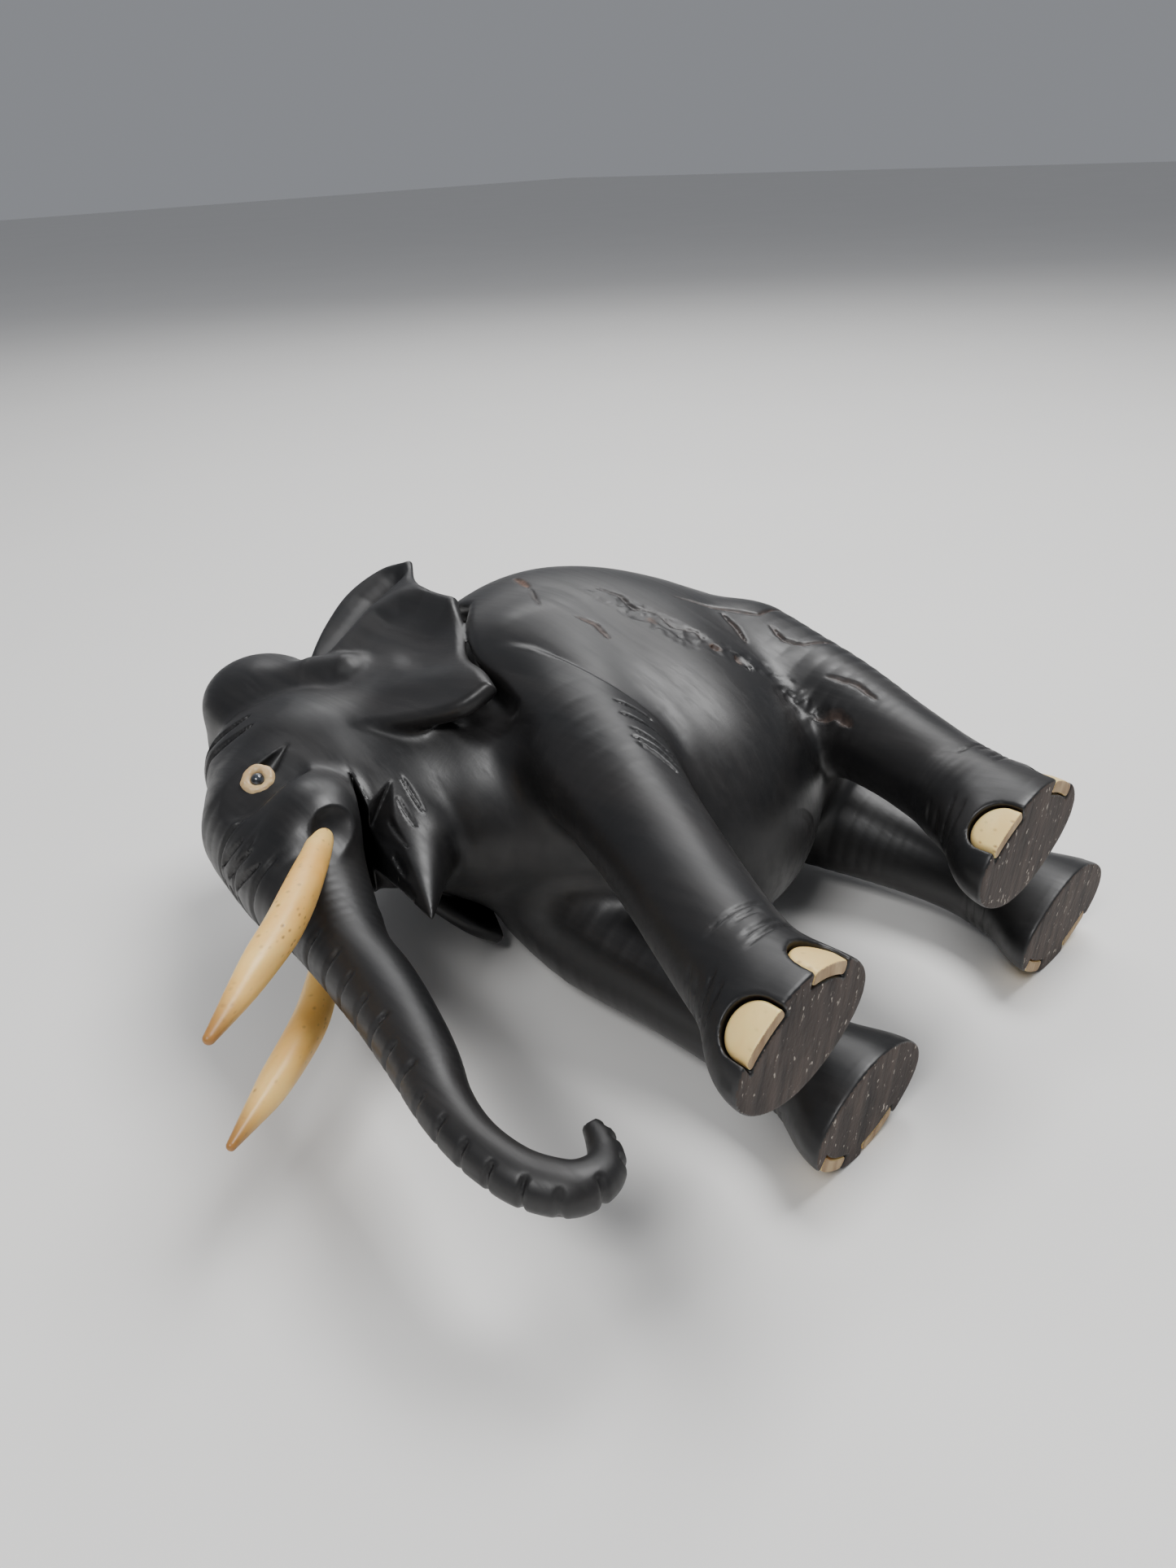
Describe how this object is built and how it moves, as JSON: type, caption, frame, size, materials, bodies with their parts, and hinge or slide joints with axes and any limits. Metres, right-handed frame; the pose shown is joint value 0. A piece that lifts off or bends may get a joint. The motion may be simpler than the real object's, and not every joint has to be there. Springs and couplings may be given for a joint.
{
  "type": "carved elephant figurine",
  "caption": "Walking elephant figurine carved from one block of dark wood, with inlaid bone tusks, eyes and toenails, lying on its right flank.",
  "frame": {"origin": "middle of the bounding box at the level of the surface that the right flank and right feet lie on", "axes": "the figure lies as in the picture: -X towards the trunk and tusks, +X towards the tail, -Y out of the soles, +Y out of the back, +Z out of the left flank, which is uppermost"},
  "size_m": [0.2048, 0.2028, 0.0868],
  "materials": {
    "ebony": "hand-rubbed satin black hardwood, rough sawn soles",
    "tusk_bone": "sanded bone, yellowed towards the tips",
    "eye_bone": "dull stained bone",
    "pupil": "polished dark peg",
    "nail_bone": "sanded bone"
  },
  "bodies": {
    "root": {"carved_body": "ebony", "left_tusk": "tusk_bone", "right_tusk": "tusk_bone", "left_eye_ring": "eye_bone", "right_eye_ring": "eye_bone", "left_pupil": "pupil", "right_pupil": "pupil", "left_fore_nail_front": "nail_bone", "left_fore_nail_side": "nail_bone", "right_fore_nail_front": "nail_bone", "right_fore_nail_side": "nail_bone", "left_hind_nail_front": "nail_bone", "left_hind_nail_side": "nail_bone", "right_hind_nail_front": "nail_bone", "right_hind_nail_side": "nail_bone"}
  },
  "joints": []
}
